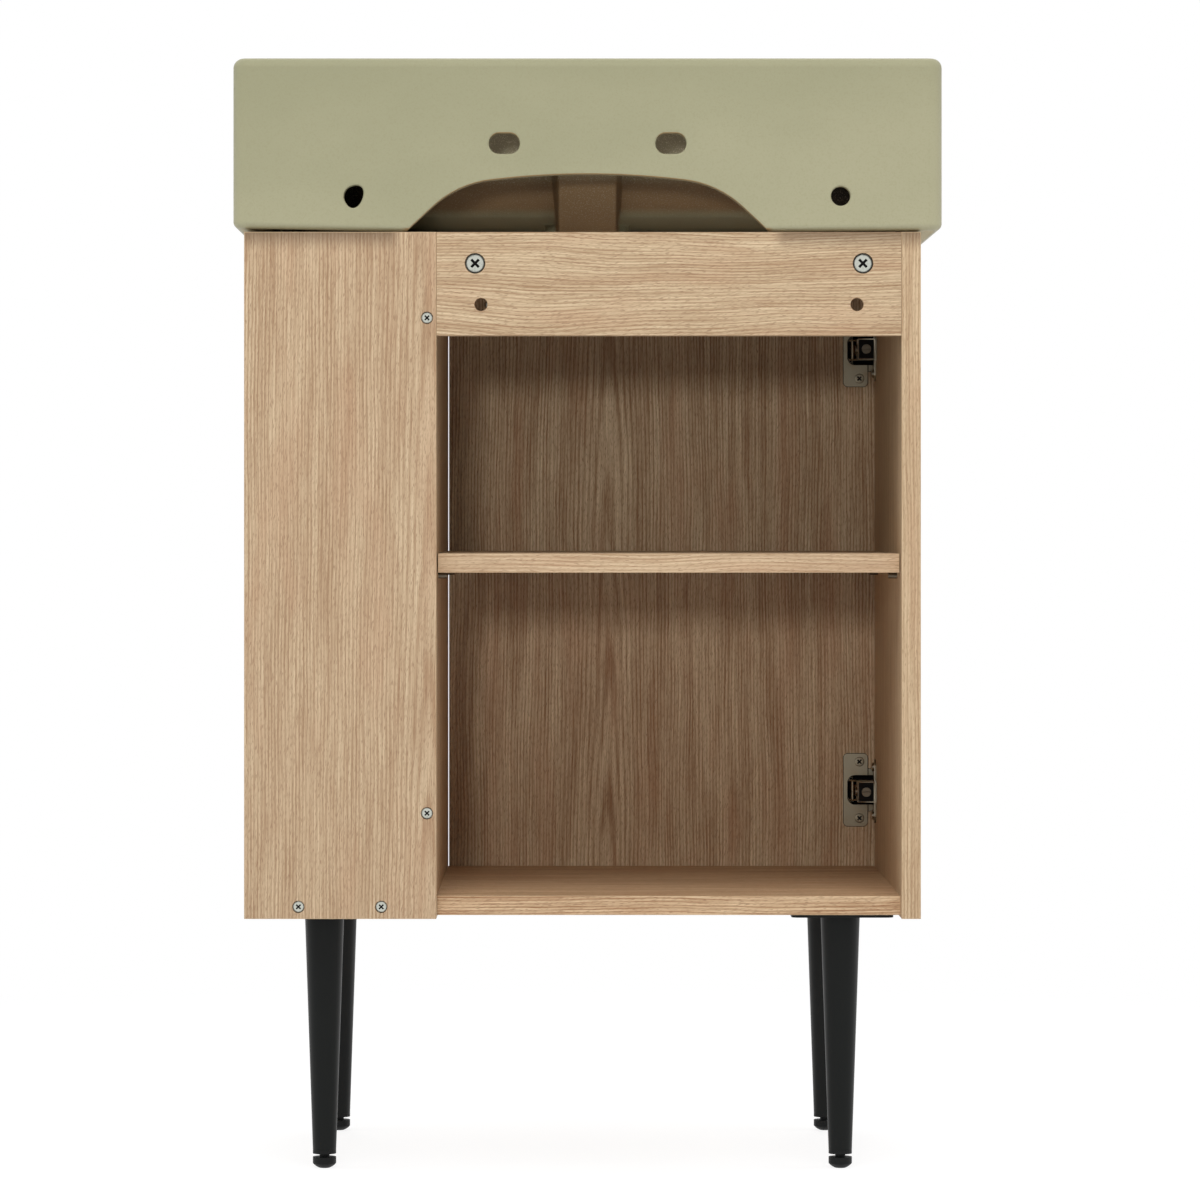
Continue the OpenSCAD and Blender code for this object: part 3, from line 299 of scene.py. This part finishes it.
def bare_ceramic():
    """The basin's hollow, with a film of glaze over brownish clay, grainy; painted shade takes its ends
    near black and its light specks are painted glints.
    """
    finish = Finish("bare_ceramic")
    x, y, z = finish.place()
    clouds = finish.noise(x / 40, y / 40, z / 30, detail=3)
    grit = finish.noise(x / 0.9, y / 0.9, z / 0.9, detail=2)
    colour = finish.blend(clouds, shade(134, 108, 76), shade(148, 122, 88))
    underside = finish.rise(z, *UNDERSIDE_Z) * finish.rise(abs(x), *DUCT_SIDE_X)
    high = finish.rise(z, *HIGH_IN_HOLLOW_Z)
    end_shade = finish.rise(abs(x), *SHADED_END_X)
    end_walls = finish.rise(abs(x), *END_WALL_X)
    colour = finish.blend(underside, colour, shade(158, 158, 130))
    colour = finish.blend(high, colour, shade(180, 170, 140))
    # Painted shade: the hollow's ends go near black
    colour = finish.blend(end_shade, colour, shade(36, 32, 26))
    colour = finish.blend(end_walls, colour, shade(196, 190, 160))
    # Light specks, more of them high in the hollow: painted glints on the rough surface
    specks = finish.rise(grit, 0.56, 0.66)
    colour = finish.blend((0.15 + 0.6 * high) * specks, colour, shade(236, 226, 200))
    return finish.coat({
        "Base Color": colour,
        "Roughness": 0.75 - 0.25 * specks,
        "Normal": finish.bump(grit + clouds, 0.18),
    })


def black_coating_and_shade(name, level, roughness, grain_mm, depth_mm):
    """A near-black coating with a fine texture, which as the recess finish is painted shade."""
    finish = Finish(name)
    x, y, z = finish.place()
    fine = finish.noise(x / grain_mm, y / grain_mm, z / grain_mm, detail=3)
    rub = finish.noise(x / 14, y / 14, z / 40, detail=2)
    colour = finish.blend(0.5 * rub + 0.3 * fine, shade(*level), shade(*(part + 9 for part in level)))
    return finish.coat({
        "Base Color": colour,
        "Roughness": roughness + 0.12 * (rub - 0.5) + 0.08 * (fine - 0.5),
        "Specular IOR Level": 0.18,
        "Normal": finish.bump(fine, depth_mm),
    })


def plated(name, colour, roughness, brush_mm, tint=(150, 118, 84), stain_mm=9):
    """Plated or cast metal with brush marks and a faint stain."""
    finish = Finish(name)
    x, y, z = finish.place()
    brushed = finish.noise(x / brush_mm, y / brush_mm, z / (12 * brush_mm), detail=3)
    stain = finish.noise(x / stain_mm, y / stain_mm, z / stain_mm, detail=3)
    base = finish.blend(0.3 * finish.rise(stain, 0.5, 0.75), shade(*colour), shade(*tint))
    return finish.coat({
        "Base Color": base,
        "Metallic": 1.0,
        "Roughness": roughness + 0.18 * (brushed - 0.5) + 0.15 * (stain - 0.5),
        "Normal": finish.bump(brushed, 0.02),
    })


def beech():
    """Bare beech with its short dark flecks."""
    finish = Finish("beech")
    x, y, z = finish.place()
    flecks = finish.noise(x / 0.9, y / 0.9, z / 0.9, detail=2)
    colour = finish.blend(finish.rise(flecks, 0.4, 0.7), shade(205, 172, 126), shade(170, 130, 88))
    return finish.coat({"Base Color": colour, "Roughness": 0.7, "Normal": finish.bump(flecks, 0.05)})


def clear_rubber():
    """Soft clear rubber, a little cloudy."""
    finish = Finish("clear_rubber")
    x, y, z = finish.place()
    cloud = finish.noise(x / 2, y / 2, z / 2)
    colour = finish.blend(cloud, shade(222, 224, 220), shade(236, 238, 234))
    return finish.coat({
        "Base Color": colour,
        "Roughness": 0.18 + 0.1 * cloud,
        "Transmission Weight": 0.6,
        "IOR": 1.45,
    })


# Pieces

WELD_MM = 0.004
FLAT_DEGREES = 0.6
CORNER_DEGREES = 32
SMOOTH_DEGREES = 44
CORNER_PLACE = 1
DEEP_PLACE = 2


def dressed(node, slot, main, corner=None, deep=None, deep_faces=None, edge_mm=0.15, segments=2):
    """Makes a copy of a CAD node with rounded corners, which stands for it.

    Its faces have the main finish, its rounded corners the corner one, and its recesses the deep one.
    """
    shape = bmesh.new()
    shape.from_mesh(frame["nodes"][node].data)
    bmesh.ops.remove_doubles(shape, verts=shape.verts, dist=WELD_MM * MM)
    bmesh.ops.dissolve_limit(
        shape, angle_limit=radians(FLAT_DEGREES), verts=shape.verts, edges=shape.edges
    )
    if node in RESHAPE:
        RESHAPE[node](shape)
    if deep_faces:
        for face in deep_faces(shape):
            face.material_index = DEEP_PLACE
    bmesh.ops.bevel(
        shape,
        geom=[edge for edge in shape.edges if is_corner(edge) and not stays_sharp(node, edge)],
        offset=edge_mm * MM,
        segments=segments,
        profile=0.5,
        affect="EDGES",
        clamp_overlap=False,
        material=CORNER_PLACE if corner else -1,
    )
    mesh = bpy.data.meshes.new(node + "_dressed")
    shape.to_mesh(mesh)
    shape.free()
    mesh.shade_smooth()
    mesh.set_sharp_from_angle(angle=radians(SMOOTH_DEGREES))
    for finish in (main, corner or main, deep or main):
        mesh.materials.append(finish)
    piece = bpy.data.objects.new(node + "_dressed", mesh)
    bpy.context.scene.collection.objects.link(piece)
    piece.modifiers.new("even_light", "WEIGHTED_NORMAL").keep_sharp = True
    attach(piece, BODY_OF[node])
    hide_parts(node)


def is_corner(edge):
    return len(edge.link_faces) == 2 and edge.calc_face_angle(0) > radians(CORNER_DEGREES)


def stays_sharp(node, edge):
    """Whether an edge lies on the basin's ground foot or at the mouth of a board's screw seat."""
    if node == "basin":
        return max(vert.co.z for vert in edge.verts) < (BASIN_FOOT_Z + 4) * MM
    return node in SEATS and any(face.material_index == DEEP_PLACE for face in edge.link_faces)


# Small changes of shape that only the looks need

NICHE_END_LIFT_MM = 2.8
HINGE_END_LIFT_MM = 1.4
LIFT_FROM_X = 148
LIFT_RUN_MM = 115
HOLE_REACH_MM = 9
HOLE_SWELL = 0.05
HOLE_TURN = 0.6
HOLE_SLANT = 0.14
HOLE_TALLER = 1.18
ARM_SHEET_MM = 1.1
ARM_SINK_MM = 0.5
SEAT_WIDER_MM = 0.25
SEAT_SLACK_MM = 0.15


def warp_basin(shape):
    """Raises the rear foot's ends and roughens one hole, as firing does to a cast basin."""
    for vert in shape.verts:
        x, y, z = vert.co / MM
        if y > BACK_Y - 20 and z < BASIN_FOOT_Z + 13:
            lift = NICHE_END_LIFT_MM if x > 0 else HINGE_END_LIFT_MM
            vert.co.z += lift * MM * min(1, max(0, (abs(x) - LIFT_FROM_X) / LIFT_RUN_MM))
        arm = Vector((x - UNEVEN_HOLE_X, z - UNEVEN_HOLE_Z))
        if y > BACK_Y - 13 and arm.length < HOLE_REACH_MM:
            swell = 1 + HOLE_SWELL * sin(3 * atan2(arm.y, arm.x) + HOLE_TURN)
            vert.co.x = (UNEVEN_HOLE_X + (arm.x - HOLE_SLANT * arm.y) * swell) * MM
            vert.co.z = (UNEVEN_HOLE_Z + HOLE_TALLER * arm.y * swell) * MM


def sink_arm_end(shape):
    """Sinks the middle of the hinge arm's end, so that its sheet edges frame it."""
    ends = [face for face in shape.faces if face.normal.y > 0.99]
    top = max(face.calc_center_median().y for face in ends)
    ends = [face for face in ends if face.calc_center_median().y > top - 0.1 * MM]
    bmesh.ops.inset_region(shape, faces=ends, thickness=ARM_SHEET_MM * MM, depth=0)
    for vert in {vert for face in ends for vert in face.verts}:
        vert.co.y -= ARM_SINK_MM * MM
    # The sunk end gets the deep finish, near black: painted shade in the arm's open end
    for face in ends:
        face.material_index = DEEP_PLACE


def open_seats(shape, radius, spots):
    """Widens the mouths of a board's screw seats a little, where the drill broke the edge."""
    for x, z in spots:
        for vert in shape.verts:
            arm = Vector((vert.co.x / MM - x, vert.co.z / MM - z))
            if abs(arm.length - radius) > SEAT_SLACK_MM:
                continue
            # The seat's walls get the deep finish, near black: painted shade in the hole
            for face in vert.link_faces:
                if abs(face.normal.y) < 0.9:
                    face.material_index = DEEP_PLACE
            if vert.co.y > (BACK_Y - 0.1) * MM:
                arm *= 1 + SEAT_WIDER_MM / radius
                vert.co.x = (x + arm.x) * MM
                vert.co.z = (z + arm.y) * MM


# Screw seats: the radius at the board's face, and the x and z of each

SEATS = {
    "niche_back_panel": (4.55, ((125.3, 670), (125.3, 283.5), (225.6, 210.5), (161, 210.5))),
    "rear_rail": (7.8, ((-214.8, 712.5), (87.8, 712.5))),
}
RESHAPE = {
    "basin": warp_basin,
    "upper_hinge_arm": sink_arm_end,
    "lower_hinge_arm": sink_arm_end,
}
for board, (radius, spots) in SEATS.items():
    RESHAPE[board] = partial(open_seats, radius=radius, spots=spots)

# Boards: the way of the grain and across it, the core's place, sway, contrast and colour shift

BOARDS = {
    "hinge_side_panel": ("z", "y", 60, 0.5, 0.9, (9, 10, 8)),
    "divider_panel": ("z", "y", -40, 0.5, 1.2, (6, 4, 2)),
    "niche_back_panel": ("z", "x", 124, 0.5, 1.0, (3, 4, 4)),
    "bottom_panel": ("x", "y", 330, 0.7, 1.4, (9, 4, 0)),
    "niche_bottom_panel": ("y", "x", 30, 0.7, 1.0, (0, 0, 0)),
    "niche_lower_shelf": ("y", "x", 110, 0.7, 1.0, (0, 0, 0)),
    "niche_upper_shelf": ("y", "x", 60, 0.7, 1.0, (0, 0, 0)),
    "niche_top_panel": ("y", "x", 20, 0.7, 1.0, (0, 0, 0)),
    "rear_rail": ("x", "z", 625, 2.2, 1.15, (6, 8, 7)),
    "front_rail": ("x", "y", 300, 0.7, 1.0, (0, 0, 0)),
    "inner_shelf": ("x", "y", 420, 1.2, 0.9, (11, 11, 10)),
    "door": ("z", "x", -18, 0.9, 1.5, (0, 0, 0)),
}
# Boards that get the painted shadow under the basin's foot
SHADOWED_UNDER_FOOT = ("hinge_side_panel", "niche_back_panel", "rear_rail")
# Near black for recesses, holes and hinge cup insides: painted shade
painted_recess_shade = black_coating_and_shade("painted_recess_shade", (12, 11, 10), 0.7, 0.3, 0.02)
board_corner = board_edge("board_corner", (214, 190, 152), (186, 156, 122))
# Painted shade: the rear rail's rounded corners are dark brown, standing in for the shade in its joints
painted_joint_shade = board_edge("painted_joint_shade", (176, 146, 114), (122, 96, 72))
for node, grain in BOARDS.items():
    finish = oak("oak_" + node, *grain, shadow_under_foot=node in SHADOWED_UNDER_FOOT)
    corner = painted_joint_shade if node == "rear_rail" else board_corner
    dressed(node, "oak_board", finish, corner, painted_recess_shade, edge_mm=0.35)

# Basin


def hollow_faces(shape):
    """The faces of the hollow under the rim, without the inside of the bowl."""
    for face in shape.faces:
        middle = face.calc_center_median() / MM
        x, y, z = middle
        in_hollow = abs(x) < HOLLOW_HALF_X and abs(y) < HOLLOW_HALF_Y
        in_bowl = abs(x) < BOWL_HALF_X and BOWL_FRONT_Y < y < BOWL_BACK_Y
        faces_up = face.normal.dot(Vector(ABOVE_BOWL) - middle) > 0
        if in_hollow and HOLLOW_LOW_Z < z < HOLLOW_HIGH_Z and not (in_bowl and faces_up):
            yield face


dressed(
    "basin", "sage_ceramic", sage_glaze(), deep=bare_ceramic(), deep_faces=hollow_faces,
    edge_mm=1.6, segments=3,
)

# Metal, plastic, rubber and wood pieces

HEADS_FACE = {
    "rail_screws": (0, 1, 0),
    "niche_back_screws": (0, 1, 0),
    "hinge_cup_screws": (0, 1, 0),
    "mounting_plate_screws": (1, 0, 0),
    "leg_plate_screws": (0, 0, -1),
    "knob_screw": (0, 1, 0),
    "bracket_screws": (0, -1, 0),
}

# A drive recess: its least depth, then its depth and reach as parts of the head's radius

RECESS_LEAST_MM = 0.05
RECESS_DEPTH = 0.5
RECESS_REACH = 0.62


def islands(shape):
    """The corner points of each separate solid in a mesh."""
    left = set(shape.verts)
    while left:
        found = set()
        waiting = [left.pop()]
        while waiting:
            vert = waiting.pop()
            found.add(vert)
            for edge in vert.link_edges:
                other = edge.other_vert(vert)
                if other in left:
                    left.discard(other)
                    waiting.append(other)
        yield found


def recess_faces(shape, way):
    """The faces of the drive recess in each screw head, where the heads face this way."""
    for verts in islands(shape):
        flats = [vert.co - way * vert.co.dot(way) for vert in verts]
        axis = sum(flats, Vector()) / len(flats)
        reach = max((flat - axis).length for flat in flats)
        top = max(vert.co.dot(way) for vert in verts)
        for face in {face for vert in verts for face in vert.link_faces}:
            middle = face.calc_center_median()
            depth = top - middle.dot(way)
            off_axis = (middle - way * middle.dot(way) - axis).length
            sunk = RECESS_LEAST_MM * MM < depth < RECESS_DEPTH * reach
            if sunk and off_axis < RECESS_REACH * reach:
                yield face


def cup_inside(shape):
    """The faces inside a hinge cup's pot."""
    front = max(vert.co.y for vert in shape.verts)
    heights = [vert.co.z for vert in shape.verts]
    axis = Vector((HINGE_CUP_X * MM, 0, (min(heights) + max(heights)) / 2))
    for face in shape.faces:
        middle = face.calc_center_median()
        to_axis = Vector((axis.x - middle.x, 0, axis.z - middle.z))
        inward = to_axis.dot(face.normal) > 0.5 * to_axis.length
        floor_face = face.normal.y > 0.9 and middle.y < front - 3 * MM
        if middle.y < front - 0.2 * MM and (inward or floor_face):
            yield face


satin_black = black_coating_and_shade("satin_black", (11, 13, 12), 0.42, 0.8, 0.02)
black_plastic = black_coating_and_shade("black_plastic", (16, 17, 17), 0.5, 0.5, 0.03)
nickel = plated("nickel", (150, 142, 123), 0.34, 0.12)
# Lighter, glossier nickel for rounded edges: a painted highlight
nickel_edge_highlight = plated("nickel_edge_highlight", (238, 232, 218), 0.22, 0.12)
# Darker nickel for pieces that sit in shade: painted shade
shaded_nickel = plated("shaded_nickel", (118, 110, 96), 0.36, 0.12)
# Brown metal for the nickel-plated hinge links: a painted reflection of the oak
link_oak_reflection = plated("link_oak_reflection", (176, 132, 98), 0.34, 0.12, tint=(120, 78, 50))
zinc = plated("zinc", (200, 202, 192), 0.36, 0.5, tint=(30, 28, 22), stain_mm=3)
cast_zinc = plated("cast_zinc", (158, 158, 155), 0.55, 0.4)
SLOT_FINISHES = {
    "black_metal": (satin_black, None),
    "black_plastic": (black_plastic, None),
    "nickel_plated_steel": (nickel, nickel_edge_highlight),
    "zinc_plated_steel": (zinc, None),
    "zinc_alloy": (cast_zinc, None),
    "beech": (beech(), None),
    "clear_rubber": (clear_rubber(), None),
}
for node, part in frame["nodes"].items():
    slot = part.data.materials[0].name
    if slot not in SLOT_FINISHES:
        continue
    main, corner = SLOT_FINISHES[slot]
    # The links' brown is a painted reflection of the oak
    if node.endswith("_link"):
        main = link_oak_reflection
    # These sit in shade; their darker nickel is painted shade
    if node in ("hinge_adjusting_screws", "shelf_pins"):
        main, corner = shaded_nickel, None
    # Near-black rounded edges on the hinge cup screws: a painted shade ring round each head
    if node == "hinge_cup_screws":
        corner = painted_recess_shade
    # The drive recesses of screw heads get near black: painted shade
    if node in HEADS_FACE:
        recesses = partial(recess_faces, way=Vector(HEADS_FACE[node]))
        dressed(node, slot, main, corner, painted_recess_shade, recesses)
    # Hinge cups: near black on every rounded corner and inside the pot, painted shade
    elif node.endswith("_hinge_cup"):
        dressed(node, slot, main, painted_recess_shade, painted_recess_shade, cup_inside, edge_mm=0.4)
    else:
        dressed(node, slot, main, corner, painted_recess_shade)

# Floor, light and camera

SHADOW_FADES_MM = (700, 1500)
ROOM_LEVEL = 0.16


def seen_ray(finish):
    """1 for what the camera sees, straight, in gloss or through glass."""
    rays = finish.add("ShaderNodeLightPath").socket.node.outputs
    camera, gloss, through = (
        Value(finish, rays[name])
        for name in ("Is Camera Ray", "Is Glossy Ray", "Is Transmission Ray")
    )
    return camera + gloss + through


def white_floor():
    """White paper that keeps a faint shadow and shows white to the camera and in reflections."""
    finish = Finish("white_floor")
    x, y, z = finish.place()
    dust = finish.noise(x / 300, y / 300, z / 300)
    colour = finish.blend(dust, shade(238, 238, 238), shade(242, 242, 242))
    paper = finish.add("ShaderNodeBsdfDiffuse", {}, {"Color": colour})
    soft = finish.add("ShaderNodeBsdfDiffuse", {}, {"Color": shade(124, 124, 124)})
    glow = finish.add("ShaderNodeEmission", {}, {"Color": (1, 1, 1, 1), "Strength": 0.86})
    near = finish.add("ShaderNodeAddShader", {}, (soft, glow))
    plain = finish.add("ShaderNodeEmission", {}, {"Color": (1, 1, 1, 1), "Strength": 1.0})
    far = finish.rise((x * x + y * y) ** 0.5, *SHADOW_FADES_MM)
    shown = finish.add("ShaderNodeMixShader", {}, (far, near, plain))
    shader = finish.add("ShaderNodeMixShader", {}, (seen_ray(finish), paper, shown))
    finish.add("ShaderNodeOutputMaterial", {}, (shader,))
    return finish.owner


bpy.ops.mesh.primitive_plane_add(size=60, location=(0, 0, 0))
floor = bpy.context.object
floor.name = "floor"
floor.data.materials.append(white_floor())
floor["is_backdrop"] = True

studio = Finish("studio", world=True)
seen = studio.add("ShaderNodeBackground", {}, {"Color": (1, 1, 1, 1), "Strength": 1.0})
room = studio.add("ShaderNodeBackground", {}, {"Color": (1, 1, 1, 1), "Strength": ROOM_LEVEL})
shown = studio.add("ShaderNodeMixShader", {}, (seen_ray(studio), room, seen))
studio.add("ShaderNodeOutputWorld", {}, (shown,))
bpy.context.scene.world = studio.owner


def softbox(name, place, target, size, power):
    """A square lamp that is seen in no reflection, of this size in metres and power in watts."""
    data = bpy.data.lights.new(name, "AREA")
    data.size = size
    data.energy = power
    lamp = bpy.data.objects.new(name, data)
    lamp.location = place
    lamp.rotation_euler = (Vector(target) - Vector(place)).to_track_quat("-Z", "Y").to_euler()
    lamp.visible_glossy = False
    bpy.context.scene.collection.objects.link(lamp)


softbox("back_softbox", (0, 1.9, 2.7), (0, 0, 0.4), 2.2, 50)
softbox("front_softbox", (0, -1.9, 2.7), (0, 0, 0.4), 2.2, 52)
softbox("left_softbox", (2.6, 0.2, 2.0), (0, 0, 0.5), 1.6, 26)
softbox("right_softbox", (-2.6, 0.2, 2.0), (0, 0, 0.5), 1.6, 26)
softbox("low_lamp", (0.4, 4.4, 1.0), (0, 0.2, 0.5), 0.3, 36)

camera_data = bpy.data.cameras.new("camera")
camera_data.lens = 162.1
camera_data.sensor_width = 36
camera_data.shift_x = 0.0208
camera_data.shift_y = -0.0683
camera = bpy.data.objects.new("camera", camera_data)
camera.location = (0.0098, 4.425, 0.5138)
camera.rotation_euler = (radians(90), 0, radians(180))
bpy.context.scene.collection.objects.link(camera)
bpy.context.scene.camera = camera
bpy.context.scene.view_settings.view_transform = "Standard"

boxes = {"cad": cad_box, "visual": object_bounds()}
{name: [list(corner) for corner in box] for name, box in boxes.items()}
